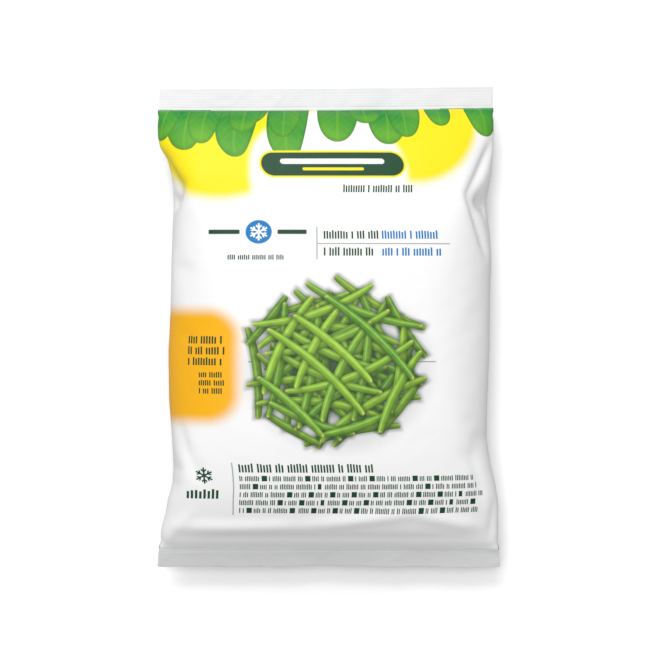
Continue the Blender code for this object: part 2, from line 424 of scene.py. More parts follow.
def fitOutline(rings):
    # the buckled sides keep the outline that the solid has
    y = rings[:, :, 1]
    bins = np.linspace(y.min() + 0.0005, y.max() - 0.0005, 160)
    reach = np.full((2, len(bins)), 0.0)
    for k, place in enumerate(bins):
        near = np.abs(y - place) < 0.004
        reach[:, k] = -rings[:, :, 0][near].min(), rings[:, :, 0][near].max()
    kernel = np.ones(5) / 5
    reach = np.array([np.convolve(np.pad(line, 2, mode="edge"), kernel, mode="valid") for line in reach])
    ySpan = (cadBox[0][1] + 0.0005, cadBox[1][1] - 0.0005)
    scaled = ySpan[0] + (bins - bins[0]) / (bins[-1] - bins[0]) * (ySpan[1] - ySpan[0])
    left, right = solidEdges(scaled)
    fitted = rings.copy()
    for side, edge, actual in ((-1, -left, reach[0]), (1, right, reach[1])):
        change = np.interp(y, bins, edge - actual)
        share = np.clip(side * rings[:, :, 0] / np.interp(y, bins, actual), 0, 1)
        fitted[:, :, 0] += side * change * share**3
    fitted[:, :, 1] = np.interp(y, bins, scaled) + (y - np.clip(y, bins[0], bins[-1]))
    return fitted


def settledRings():
    flat, front, back, inSeal, along = startRows()
    obj, cut, frontIds, backIds = clothObject(flat, front, back, inSeal, along)
    points = dropFilm(obj, cut)
    rings = np.concatenate([points[frontIds], points[backIds][:, -2:0:-1]], axis=1)
    body = slice(inSeal + 1, inSeal + along)
    for _ in range(film["smoothing"]):
        around = np.roll(rings, 1, axis=1) + np.roll(rings, -1, axis=1)
        mean = around[body] + rings[inSeal : inSeal + along - 1] + rings[inSeal + 2 : inSeal + along + 1]
        rings[body] += 0.5 * (mean / 4 - rings[body])
    # the lower seal hangs down a little from its inner line
    turn = math.radians(film["lowSealDroop"])
    hinge = rings[inSeal, :, 1:].mean(axis=0)
    reach = rings[:inSeal, :, 1:] - hinge
    rings[:inSeal, :, 1] = hinge[0] + reach[..., 0] * math.cos(turn) - reach[..., 1] * math.sin(turn)
    rings[:inSeal, :, 2] = hinge[1] + reach[..., 0] * math.sin(turn) + reach[..., 1] * math.cos(turn)
    return flat, rings, inSeal, along


flatRows, clothRings, sealRows, bodyRows = settledRings()
print("film settled", clothRings.reshape(-1, 3).min(0).round(4), clothRings.reshape(-1, 3).max(0).round(4))


def fineRings():
    rowPlaces = np.concatenate([
        np.arange(0, sealRows * 8) / 8,
        sealRows + np.arange(0, bodyRows * 2) / 2,
        sealRows + bodyRows + np.arange(0, sealRows * 8 + 1) / 8,
    ])
    around = np.arange(0, clothRings.shape[1] * 2) / 2
    rings = sampleAlong(clothRings, rowPlaces, False)
    rings = sampleAlong(rings.transpose(1, 0, 2), around, True).transpose(1, 0, 2)
    rows = np.interp(rowPlaces, np.arange(len(flatRows)), flatRows)
    return rows, rings


def sheetPlace(ringShare, v):
    # the unrolled film as a print sheet from 0 to 1: its cut edges meet in the middle of the back
    u = ringShare - 0.25
    return (u + 0.5) % 1.0, v / film["cutLength"] + 0.5


zones = ["filmTop", "filmBadges", "filmMiddle", "filmLow", "filmPlain"]
zoneLines = {"top": 0.102, "badges": 0.051, "middle": -0.112, "wrap": 0.2}  # metres on the flat film


def zoneAt(u, v):
    # which part of the print a face of the film belongs to
    if abs(u - 0.5) * 2 * film["tubeWidth"] > zoneLines["wrap"]:
        return zones.index("filmPlain")
    return sum(v < zoneLines[line] for line in ("top", "badges", "middle"))


def addRings(build, uvLayer, rows, rings, flip):
    # closed skin through rings, with a strip across each end
    count = rings.shape[1]
    verts = [[build.verts.new(point) for point in ring] for ring in rings]
    for row in range(len(rings) - 1):
        for side in range(count):
            after = (side + 1) % count
            corners = [(row, side), (row, after), (row + 1, after), (row + 1, side)]
            shares = [side / count, (side + 1) / count, (side + 1) / count, side / count]
            face = build.faces.new([verts[r][s] for r, s in corners])
            inBody = max(abs(rows[row]), abs(rows[row + 1])) <= film["cutLength"] / 2 - film["sealDepth"] + 0.001
            face.smooth = inBody or side % (count // 2) not in (0, count // 2 - 1)  # crisp cut edges of the seals
            centre = sheetPlace((side + 0.5) / count, 0)[0]
            face.material_index = zones.index("filmPlain") if flip else zoneAt(centre, (rows[row] + rows[row + 1]) / 2)
            for loop, share, (r, _) in zip(face.loops, shares, corners):
                u, v = sheetPlace(share, rows[r])
                u += round(centre - u)
                loop[uvLayer].uv = (u, v)
            if flip:
                face.normal_flip()
    for row in (0, len(rings) - 1):
        for side in range(count // 2):
            ids = dict.fromkeys((side, side + 1, (count - side - 1) % count, (count - side) % count))
            face = build.faces.new([verts[row][s] for s in ids])
            face.material_index = zones.index("filmPlain")
            for loop in face.loops:
                loop[uvLayer].uv = (0.5, sheetPlace(0, rows[row])[1])
            if (row == 0) != flip:
                face.normal_flip()


seam = {
    "start": 0.001,  # right of the back's middle
    "width": 0.014,
    "lift": 0.0005,
    "steps": 6,
}


def addSeam(build, uvLayer, rows, rings, normals):
    # the lapped edge down the back, a thin strip that follows the film
    count = rings.shape[1]
    tube = 2 * film["tubeWidth"]
    middle = 0.75 * count  # ring place of the middle of the back
    start = middle - (seam["start"] + seam["width"]) / tube * count
    end = middle - seam["start"] / tube * count
    places = np.linspace(start, end, seam["steps"] + 1)
    skin = sampleAlong(rings.transpose(1, 0, 2), places, True).transpose(1, 0, 2)
    out = sampleAlong(normals.transpose(1, 0, 2), places, True).transpose(1, 0, 2)
    lift = np.full(len(places), seam["lift"])
    lift[0] *= 0.8
    upper = skin + out * lift[None, :, None]
    lower = skin - out * 0.0002
    loopPoints = np.concatenate([lower, upper[:, ::-1]], axis=1)
    shares = np.concatenate([places, places[::-1]]) / count
    size = loopPoints.shape[1]
    verts = [[build.verts.new(point) for point in ring] for ring in loopPoints]
    faces = []
    for row in range(len(rows) - 1):
        for side in range(size):
            after = (side + 1) % size
            face = build.faces.new((verts[row][side], verts[row][after], verts[row + 1][after], verts[row + 1][side]))
            for loop, s, r in zip(face.loops, (side, after, after, side), (row, row, row + 1, row + 1)):
                loop[uvLayer].uv = sheetPlace(shares[s], rows[r])
            face.material_index = zones.index("filmPlain")
            faces.append(face)
    for row in (0, len(rows) - 1):
        face = build.faces.new(verts[row])
        for loop in face.loops:
            loop[uvLayer].uv = sheetPlace(0.74, rows[row])
        faces.append(face)
    return faces


def foldedRings(rows, rings):
    # the photographed creases, pressed into the front along its normals
    count = rings.shape[1]
    x = (np.arange(count) / count - 0.25)[None, :] * 2000 * film["tubeWidth"]
    y = rows[:, None] * 1000
    depth = np.zeros(rings.shape[:2])
    for startX, startY, endX, endY, width, deep in film["folds"]:
        wayX, wayY = endX - startX, endY - startY
        share = np.clip(((x - startX) * wayX + (y - startY) * wayY) / max(wayX**2 + wayY**2, 1e-6), 0, 1)
        away = np.hypot(x - startX - share * wayX, y - startY - share * wayY)
        ends = 1 - 0.7 * np.abs(2 * share - 1) ** 3 if wayX or wayY else 1.0
        depth += deep / 1000 * ends * np.exp(-((away / width) ** 2))
    depth[:, count // 2 + 1 :] = 0
    depth *= np.clip((0.2 - np.abs(rows)) / 0.01, 0, 1)[:, None]
    sides = np.minimum(np.arange(count), np.abs(count // 2 - np.arange(count))) / 3
    return rings - ringNormals(rings) * (depth * np.clip(sides, 0, 1))[:, :, None]


vents = {
    "radius": 0.0011,
    "places": ((-0.045, 0.150), (-0.045, 0.132), (0.055, 0.141)),  # on the back
}


def ventRim(build, uvLayer, face, centre):
    # a round rim of eight points in one face, joined to the face's four corners
    corners = list(face.verts)
    places = {loop.vert: loop[uvLayer].uv.copy() for loop in face.loops}
    zone, normal, middle = face.material_index, face.normal.copy(), face.calc_center_median()
    build.faces.remove(face)
    way = corners[0].co - centre
    start = math.atan2(way.y, way.x)
    step = math.copysign(math.pi / 4, way.cross(corners[1].co - centre).z)
    rim = []
    for k in range(8):
        angle = start + (k - 0.5) * step
        point = centre + vents["radius"] * Vector((math.cos(angle), math.sin(angle), 0))
        point.z = middle.z - (normal.xy @ (point - middle).xy) / normal.z
        rim.append(build.verts.new(point))
    for k in range(4):
        after = (k + 1) % 4
        corner, first, second = corners[k], rim[2 * k], rim[2 * k + 1]
        for ids in ((corner, second, first), (corner, corners[after], rim[2 * after], second)):
            made = build.faces.new(ids)
            made.material_index = zone
            for loop in made.loops:
                loop[uvLayer].uv = places.get(loop.vert, places[corner])
    return rim


def cutVents(build, uvLayer, outerFaces, innerFaces):
    # each round hole goes through the outer and the inner face of the film
    for x, y in vents["places"]:
        picked = []
        for faces in (outerFaces, innerFaces):
            picked.append(min(faces, key=lambda face: (face.calc_center_median().xy - Vector((x, y))).length))
            faces.remove(picked[-1])
        outer, inner = picked
        centre = outer.calc_center_median()
        outerRim, innerRim = ventRim(build, uvLayer, outer, centre), ventRim(build, uvLayer, inner, centre)
        first = min(range(8), key=lambda k: (innerRim[k].co - outerRim[0].co).length)
        for k in range(8):
            wall = build.faces.new((outerRim[k], outerRim[(k + 1) % 8], innerRim[first - k - 1], innerRim[first - k]))
            wall.material_index = zones.index("filmPlain")


def makeFilm():
    rows, rings = fineRings()
    rings = fitOutline(foldedRings(rows, rings))
    rings[:, :, 2] -= rings[:, :, 2].min()
    rings[:, :, 2] *= min(1.0, (cadBox[1][2] + 0.001) / rings[:, :, 2].max())
    normals = ringNormals(rings)
    outer = rings + normals * film["halfThickness"]
    lowest = (outer + normals * seam["lift"])[:, :, 2].min()
    outer[:, :, 2] -= lowest
    mesh = bpy.data.meshes.new("filmBag")
    build = bmesh.new()
    uvLayer = build.loops.layers.uv.new("printSheet")
    addRings(build, uvLayer, rows, outer, False)
    # the inner face needs far fewer points
    body = (np.abs(rows) < film["cutLength"] / 2 - film["sealDepth"] - 0.004).nonzero()[0][::2]
    inner = (outer - normals * film["innerDepth"])[body][:, ::2]
    addRings(build, uvLayer, rows[body], inner, True)
    strip = addSeam(build, uvLayer, rows, outer, normals)
    bmesh.ops.recalc_face_normals(build, faces=strip)
    outerCount = (len(rows) - 1) * outer.shape[1]
    build.faces.ensure_lookup_table()
    build.normal_update()
    outerBack = [face for face in build.faces[:outerCount] if face.normal.z < -0.5]
    innerStart = outerCount + outer.shape[1]
    innerBack = [face for face in build.faces[innerStart : len(build.faces) - len(strip)] if face.normal.z > 0.5]
    innerBack = [face for face in innerBack if face.calc_center_median().z < 0.03]
    cutVents(build, uvLayer, outerBack, innerBack)
    build.to_mesh(mesh)
    build.free()
    along = mesh.attributes.new("alongFilm", "FLOAT", "POINT")
    count = rings.shape[1]
    values = np.zeros(len(mesh.vertices))
    values[: len(rows) * count] = np.repeat(rows, count)
    stripStart = len(rows) * count + len(body) * (count // 2)
    stripSize = 2 * (seam["steps"] + 1)
    values[stripStart : stripStart + len(rows) * stripSize] = np.repeat(rows, stripSize)
    along.data.foreach_set("value", values)
    obj = bpy.data.objects.new("filmBag", mesh)
    bpy.context.scene.collection.objects.link(obj)
    return obj


filmBag = makeFilm()
print("film bag made", len(filmBag.data.polygons), "faces")

# the printed sheet, in millimetres on the unrolled film: x 0 is the middle of the front

printWork = {
    "inkLevel": 0.75,  # share of the light that white film returns
    "white": (249, 249, 249),
    "yellow": (252, 230, 0),
    "orange": (250, 182, 0),
    "darkGreen": (0, 66, 34),
    "leafGreen": (20, 140, 50),
    "brightGreen": (120, 185, 35),
    "blue": (0, 122, 190),
    "ruleGrey": (150, 155, 150),
    "pilePlace": (5.0, -32.0),
    "pileSize": 76.0,
    "beanRadius": 3.7,
    "beanHalfLength": 53.0,
    "beanSpacing": 22.0,  # of the lowest layer
    "beanSpacingGain": 13.0,  # how much wider the top layer's is
    "beanBends": (13.0, -15.0, 10.0, -8.0),
    "beanAngles": (12, 96, 148, 55, 121, 171, 34, 83, 158, 20, 66, 135),  # lowest layer first
    "darkBean": (70, 150, 26),
    "lightBean": (172, 222, 50),
    "beanTip": (206, 214, 96),
    "beanShadow": (24, 60, 16),
}


def ink(name):
    return (*[c * printWork["inkLevel"] for c in rgb(*printWork[name])[:3]], 1.0)


def makeBoxGroup():
    # a rounded box with a hard or soft edge
    numbers = ("X", "Y", "Centre x", "Centre y", "Half width", "Half height", "Corner", "Softness")
    tree, i, o = newGroup("printedBox", dict.fromkeys(numbers, "number"), {"Mask": "number"})
    qx = sizeOf(tree, minus(tree, i["X"], i["Centre x"]))
    qy = sizeOf(tree, minus(tree, i["Y"], i["Centre y"]))
    qx = plus(tree, minus(tree, qx, i["Half width"]), i["Corner"])
    qy = plus(tree, minus(tree, qy, i["Half height"]), i["Corner"])
    ox, oy = largest(tree, qx, 0.0), largest(tree, qy, 0.0)
    outside = length2d(tree, ox, oy)
    inside = calc(tree, "MINIMUM", largest(tree, qx, qy), 0.0)
    distance = minus(tree, plus(tree, outside, inside), i["Corner"])
    shade = divided(tree, distance, i["Softness"])
    tree.links.new(ramp(tree, shade, 1.0, -1.0), o["Mask"])
    return tree


wordRhythm = {
    "cell": 12.0,  # strokes from the start of one word to the next
    "lineShift": 5.0,  # strokes that each line is moved by
    "stroke": 0.6,  # inked share of each stroke's place
    "lowering": 0.2,
    "pillLetters": 2.5,
    "ragged": 0.12,  # share of a line's length that its end may fall short
}


def makeWordsGroup():
    # rows of upright strokes in the rhythm of words
    numbers = ("X", "Y", "Left", "Right", "Top", "Line step", "Height", "Letter", "Lines", "Pills", "Seed")
    tree, i, o = newGroup("printedWords", dict.fromkeys(numbers, "number"), {"Mask": "number"})
    down = divided(tree, minus(tree, i["Top"], i["Y"]), i["Line step"])
    line = floorOf(tree, down)
    inRow = times(tree, minus(tree, down, line), i["Line step"])
    along = divided(tree, minus(tree, i["X"], i["Left"]), i["Letter"])
    wordPlace = divided(tree, plus(tree, along, times(tree, line, wordRhythm["lineShift"])), wordRhythm["cell"])
    word, letter = floorOf(tree, wordPlace), floorOf(tree, along)

    def draw(value, shift):
        spot = vector(tree, value, line, plus(tree, i["Seed"], shift))
        return addNode(tree, "ShaderNodeTexWhiteNoise", {"Vector": spot}).outputs["Value"]

    spot = floorOf(tree, times(tree, minus(tree, wordPlace, word), wordRhythm["cell"]))
    gap = floorOf(tree, scaled(tree, draw(word, 0.0), 8.0, 2.0))
    lastSpot = calc(tree, "COMPARE", spot, wordRhythm["cell"] - 1, 0.5)
    gap = largest(tree, calc(tree, "COMPARE", spot, gap, 0.5), lastSpot)
    stroke = isBelow(tree, minus(tree, along, letter), wordRhythm["stroke"])
    low = times(tree, times(tree, draw(letter, 5.0), wordRhythm["lowering"]), i["Height"])
    stroke = times(tree, stroke, isAbove(tree, inRow, low))
    pill = isBelow(tree, draw(word, 9.0), i["Pills"])
    besidePill = times(tree, pill, isBelow(tree, spot, wordRhythm["pillLetters"] + 1))
    stroke = times(tree, stroke, minus(tree, 1.0, besidePill))
    pill = times(tree, pill, isBelow(tree, spot, wordRhythm["pillLetters"]))
    marks = times(tree, largest(tree, stroke, pill), minus(tree, 1.0, gap))
    parts = [
        isBelow(tree, inRow, i["Height"]),
        isAbove(tree, down, 0.0),
        isBelow(tree, line, i["Lines"]),
        isAbove(tree, i["X"], i["Left"]),
    ]
    spare = times(tree, minus(tree, i["Right"], i["Left"]), wordRhythm["ragged"])
    end = minus(tree, i["Right"], times(tree, draw(0.0, 13.0), spare))
    wholeLetter = scaled(tree, plus(tree, letter, 1.0), i["Letter"], i["Left"])
    parts.append(isBelow(tree, wholeLetter, end))
    for part in parts:
        marks = times(tree, marks, part)
    tree.links.new(marks, o["Mask"])
    return tree


def makeStarGroup():
    # a six-armed frost star
    numbers = ("X", "Y", "Centre x", "Centre y", "Size", "Stroke")
    tree, i, o = newGroup("printedStar", dict.fromkeys(numbers, "number"), {"Mask": "number"})
    x = minus(tree, i["X"], i["Centre x"])
    y = minus(tree, i["Y"], i["Centre y"])
    reach = length2d(tree, x, y)
    turn = plus(tree, calc(tree, "ARCTAN2", x, y), math.pi / 6 + 2 * math.pi)
    fold = minus(tree, calc(tree, "FLOORED_MODULO", turn, math.pi / 3), math.pi / 6)
    along = times(tree, reach, calc(tree, "COSINE", fold))
    across = sizeOf(tree, times(tree, reach, calc(tree, "SINE", fold)))
    arm = isBelow(tree, across, i["Stroke"])
    twigStart = times(tree, i["Size"], 0.5)
    lean = minus(tree, minus(tree, along, twigStart), times(tree, across, 0.8))
    twig = isBelow(tree, sizeOf(tree, lean), times(tree, i["Stroke"], 1.2))
    twig = times(tree, twig, isBelow(tree, across, times(tree, i["Size"], 0.3)))
    inSize = isBelow(tree, along, i["Size"])
    tree.links.new(times(tree, largest(tree, arm, twig), inSize), o["Mask"])
    return tree


def makeBeansGroup():
    # one layer of the printed heap: rows of beans that lie the same way, each drawn on its own
    numbers = ("X", "Y", "Angle", "Spacing", "Half length", "Radius", "Heap", "Bend", "Tone", "Seed")
    colours = ("Under", "Dark bean", "Light bean", "Bean tip", "Bean shadow")
    ins = {**dict.fromkeys(numbers, "number"), **dict.fromkeys(colours, "colour")}
    tree, i, o = newGroup("printedBeans", ins, {"Colour": "colour"})
    cos, sin = calc(tree, "COSINE", i["Angle"]), calc(tree, "SINE", i["Angle"])
    a = plus(tree, times(tree, i["X"], cos), times(tree, i["Y"], sin))
    b = minus(tree, times(tree, i["Y"], cos), times(tree, i["X"], sin))
    bow = divided(tree, a, i["Heap"])
    b = plus(tree, b, times(tree, times(tree, bow, bow), i["Bend"]))
    row = floorOf(tree, divided(tree, b, i["Spacing"]))
    draws = threeDraws(tree, row, i["Seed"])
    play = minus(tree, i["Spacing"], times(tree, i["Radius"], 2.6))
    middle = times(tree, plus(tree, row, 0.5), i["Spacing"])
    middle = plus(tree, middle, times(tree, minus(tree, draws[0], 0.5), play))
    across = minus(tree, b, middle)
    square = minus(tree, times(tree, i["Heap"], i["Heap"]), times(tree, middle, middle))
    chord = calc(tree, "SQRT", largest(tree, square, 0.0))
    room = largest(tree, minus(tree, chord, i["Half length"]), 0.0)
    shift = times(tree, scaled(tree, draws[1], 2.0, -1.0), room)
    length = times(tree, calc(tree, "MINIMUM", i["Half length"], chord), scaled(tree, draws[2], 0.3, 0.78))
    t = divided(tree, minus(tree, a, shift), largest(tree, length, 1.0))
    t2 = times(tree, t, t)
    blunt = raised(tree, t2, 14.0)
    taper = calc(tree, "SQRT", largest(tree, minus(tree, 1.0, blunt), 0.0))
    taper = times(tree, taper, scaled(tree, t2, -0.34, 1.0))
    width = largest(tree, times(tree, taper, i["Radius"]), 0.02)
    side = divided(tree, across, width)
    inBean = ramp(tree, sizeOf(tree, side), 1.08, 0.94)
    inLength = ramp(tree, t2, 1.0, 0.985)
    enough = isAbove(tree, length, times(tree, i["Half length"], 0.45))
    mask = times(tree, times(tree, inBean, inLength), enough)
    # light from the upper left of the sheet, whatever way the bean lies
    lightSide = times(tree, side, calc(tree, "SIGN", scaled(tree, sin, 0.6, cos)))
    lit = ramp(tree, lightSide, -1.1, 0.75)
    rim = scaled(tree, raised(tree, sizeOf(tree, side), 4.0), -0.42, 1.0)
    gloss = ramp(tree, sizeOf(tree, minus(tree, lightSide, 0.34)), 0.26, 0.0, 0.0, 0.22)
    grain = noise(tree, vector(tree, times(tree, t, 5.0), times(tree, side, 0.7), plus(tree, row, i["Seed"])), 1.0, 2.0)
    hue = plus(tree, times(tree, draws[1], 0.55), scaled(tree, grain, 0.9, -0.2), clamp=True)
    colour = mixColour(tree, hue, i["Dark bean"], i["Light bean"])
    colour = mixColour(tree, ramp(tree, t2, 0.86, 0.97, 0.0, 0.8), colour, i["Bean tip"])
    tone = times(tree, times(tree, scaled(tree, lit, 0.58, 0.46), rim), i["Tone"])
    colour = mixColour(tree, 1.0, colour, grey(tree, tone), "MULTIPLY")
    colour = mixColour(tree, times(tree, gloss, i["Tone"]), colour, (0.75, 0.82, 0.5, 1))
    # the dark gap that the bean throws on what is under it
    below = sizeOf(tree, divided(tree, across, times(tree, i["Radius"], 2.0)))
    shadow = times(tree, ramp(tree, below, 1.0, 0.3, 0.0, 0.55), times(tree, ramp(tree, t2, 1.15, 0.9), enough))
    under = mixColour(tree, shadow, i["Under"], i["Bean shadow"])
    tree.links.new(mixColour(tree, mask, under, colour), o["Colour"])
    return tree


def makeLeavesGroup():
    # one row of rounded hanging leaves of own design along the top
    numbers = ("X", "Y", "Top", "Spacing", "Drop", "Shift", "Seed")
    ins = {**dict.fromkeys(numbers, "number"), "Under": "colour", "Dark leaf": "colour", "Bright leaf": "colour"}
    tree, i, o = newGroup("printedLeaves", ins, {"Colour": "colour"})
    place = divided(tree, minus(tree, i["X"], i["Shift"]), i["Spacing"])
    cell = floorOf(tree, place)
    draws = threeDraws(tree, cell, i["Seed"])
    sideways = scaled(tree, minus(tree, place, cell), 2.0, -1.0)
    depth = times(tree, i["Drop"], scaled(tree, draws[0], 0.75, 0.45))
    down = divided(tree, minus(tree, i["Top"], i["Y"]), depth)
    lean = times(tree, scaled(tree, draws[1], 0.36, -0.18), down)
    local = minus(tree, times(tree, sideways, 1.2), lean)
    below = raised(tree, largest(tree, down, 0.0), 2.2)
    size = plus(tree, raised(tree, sizeOf(tree, local), 2.2), below)
    mask = times(tree, ramp(tree, size, 1.03, 0.97), isAbove(tree, draws[2], 0.28))
    vein = ramp(tree, sizeOf(tree, local), 0.09, 0.02, 0.0, 0.45)
    sideVein = calc(tree, "SINE", times(tree, minus(tree, times(tree, down, 2.2), sizeOf(tree, local)), 14.0))
    vein = largest(tree, vein, ramp(tree, sideVein, 0.8, 1.0, 0.0, 0.22))
    patch = noise(tree, vector(tree, place, down, i["Seed"]), 1.7, 1.0)
    bright = plus(tree, times(tree, ramp(tree, down, 0.0, 1.0), 0.45), scaled(tree, patch, 0.9, -0.35), clamp=True)
    colour = mixColour(tree, bright, i["Dark leaf"], i["Bright leaf"])
    colour = mixColour(tree, vein, colour, i["Bright leaf"])
    edge = ramp(tree, size, 0.7, 1.0, 1.0, 0.72)
    colour = mixColour(tree, 1.0, colour, grey(tree, edge), "MULTIPLY")
    tree.links.new(mixColour(tree, mask, i["Under"], colour), o["Colour"])
    return tree


groups = {
    "box": makeBoxGroup(),
    "words": makeWordsGroup(),
    "star": makeStarGroup(),
    "beans": makeBeansGroup(),
    "leaves": makeLeavesGroup(),
}


def ellipse(tree, x, y, centre, size, soft):
    # soft round field of the print
    dx = divided(tree, minus(tree, x, centre[0]), size[0])
    dy = divided(tree, minus(tree, y, centre[1]), size[1])
    return ramp(tree, length2d(tree, dx, dy), 1.0 + soft, 1.0 - soft)


def printZone(tree, x, y, zone):
    # the inks of one part of the film, over the white, from the lowest to the top one
    def box(centre, half, corner, soft=0.5):
        return useGroup(tree, groups["box"], X=x, Y=y, centreX=centre[0], centreY=centre[1], halfWidth=half[0],
                        halfHeight=half[1], corner=corner, softness=soft)["Mask"]

    def words(left, right, top, height, letter, lines=1, step=9.0, pills=0.0, seed=1.0):
        return useGroup(tree, groups["words"], X=x, Y=y, left=left, right=right, top=top, lineStep=step, height=height,
                        letter=letter, lines=lines - 0.5, pills=pills, seed=seed)["Mask"]

    def star(centreX, centreY, size, stroke):
        made = useGroup(tree, groups["star"], X=x, Y=y, centreX=centreX, centreY=centreY, size=size, stroke=stroke)
        return made["Mask"]

    def over(under, mask, name):
        return mixColour(tree, mask, under, ink(name))

    colour = ink("white")
    if zone == "filmTop":
        # yellow fields with a white round field between them, hanging leaves and a plain name plate
        fields = [ellipse(tree, x, y, (-92, 212), (82, 96), 0.07), ellipse(tree, x, y, (72, 212), (62, 82), 0.08)]
        centre = minus(tree, 1.0, ellipse(tree, x, y, (-2, 138), (66, 62), 0.07))
        colour = over(colour, times(tree, largest(tree, *fields), centre), "yellow")
        for spacing, drop, shift, seed in ((27, 25, 5, 3), (44, 46, -11, 8), (35, 33, 16, 21)):
            colour = useGroup(
                tree, groups["leaves"], X=x, Y=y, top=203.0, spacing=spacing, drop=drop, shift=shift, seed=seed,
                under=colour, darkLeaf=ink("leafGreen"), brightLeaf=ink("brightGreen"),
            )["Colour"]
        colour = over(colour, box((2, 147), (62, 12.5), 12.5), "yellow")
        colour = over(colour, box((2, 147), (60.2, 10.7), 10.7), "darkGreen")
        colour = over(colour, box((2, 149.5), (44, 2.4), 2.4), "white")
        colour = over(colour, box((2, 142.5), (26, 1.3), 1.3), "yellow")
        colour = over(colour, words(10, 74, 128.5, 7.2, 2.1, seed=2), "darkGreen")
    elif zone == "filmBadges":
        # a frost badge, and two lines of strokes between rules
        colour = over(colour, box((-87, 86), (12, 2.0), 1.0), "darkGreen")
        colour = over(colour, box((-33, 86), (12, 2.0), 1.0), "darkGreen")
        colour = over(colour, words(-84, -36, 66, 4.6, 1.6, seed=4), "darkGreen")
        colour = over(colour, ellipse(tree, x, y, (-60, 86), (10.5, 10.5), 0.05), "blue")
        colour = over(colour, star(-60.0, 86.0, 7.6, 0.75), "white")
        colour = over(colour, box((-12.6, 76), (0.45, 14.5), 0.1), "ruleGrey")
        colour = over(colour, box((42, 75.6), (54, 0.45), 0.1), "ruleGrey")
        colour = over(colour, words(-7, 40, 87.5, 7.6, 2.3, 2, 15.0, seed=5), "darkGreen")
        colour = over(colour, words(41, 97, 87.5, 7.6, 2.3, 2, 15.0, seed=6), "blue")
    elif zone == "filmMiddle":
        # warm panel with its lines, and the heap of beans over a thin rule
        colour = over(colour, box((-124, -33), (50, 50), 26, 8), "orange")
        colour = over(colour, words(-116, -83, -6, 7.2, 2.3, 3, 9.6, seed=12), "darkGreen")
        colour = over(colour, words(-106, -83, -38, 5.2, 1.8, 3, 7.2, seed=14), "darkGreen")
        colour = over(colour, box((10, -29), (76, 0.45), 0.1), "ruleGrey")
        px = minus(tree, x, printWork["pilePlace"][0])
        py = minus(tree, y, printWork["pilePlace"][1])
        ground = ellipse(tree, px, py, (2, -5), (74, 70), 0.16)
        colour = over(colour, times(tree, ground, 0.22), "beanShadow")
        ground = ellipse(tree, px, py, (0, 0), (48, 46), 0.25)
        colour = over(colour, times(tree, ground, 0.95), "beanShadow")
        layers = len(printWork["beanAngles"])
        for layer, angle in enumerate(printWork["beanAngles"]):
            share = layer / (layers - 1)
            colour = useGroup(
                tree, groups["beans"], X=px, Y=py, angle=math.radians(angle),
                spacing=printWork["beanSpacing"] + printWork["beanSpacingGain"] * share,
                halfLength=printWork["beanHalfLength"], radius=printWork["beanRadius"],
                heap=printWork["pileSize"] - 8 * share, bend=printWork["beanBends"][layer % 4],
                tone=0.62 + 0.38 * share, seed=40.0 + layer, under=colour, darkBean=ink("darkBean"),
                lightBean=ink("lightBean"), beanTip=ink("beanTip"), beanShadow=ink("beanShadow"),
            )["Colour"]
    elif zone == "filmLow":
        # frost star over a short row of strokes, and the block of lines
        colour = over(colour, box((-83, -143), (0.45, 24), 0.1), "ruleGrey")
        colour = over(colour, star(-106.0, -131.0, 7.4, 0.7), "darkGreen")
        colour = over(colour, words(-121, -91, -143, 14.0, 3.4, seed=16), "darkGreen")
        colour = over(colour, words(-78, 52, -119.5, 8.2, 2.5, seed=17), "darkGreen")
        colour = over(colour, words(-78, 130, -130.6, 5.0, 1.5, 5, 7.35, 0.5, 18), "darkGreen")
    return colour


filmSkin = {
    # painted shade: the grey and its share darken the seals' colour to stand for the shade that falls on them
    "sealShadeGrey": (0.3, 0.31, 0.32, 1),
    "sealShadeShare": 0.3,
    "dust": (0.42, 0.43, 0.45, 1),
    "printEnd": 203.6,  # millimetres from the middle: the film is bare past it
    "sealFrom": 199.5,
    "sealTo": 201.0,
    "dustShare": 0.035,
    "cloudScale": 26.0,
    "grainScale": 420.0,
    "grainHeight": 0.00002,
    "roughness": 0.38,
    "creaseScale": 34.0,
    "creaseHeight": 0.0009,
    "lumpScale": 62.0,
    "lumpHeight": 0.00025,
    "bumpStrength": 0.35,
    "specular": 0.18,
}


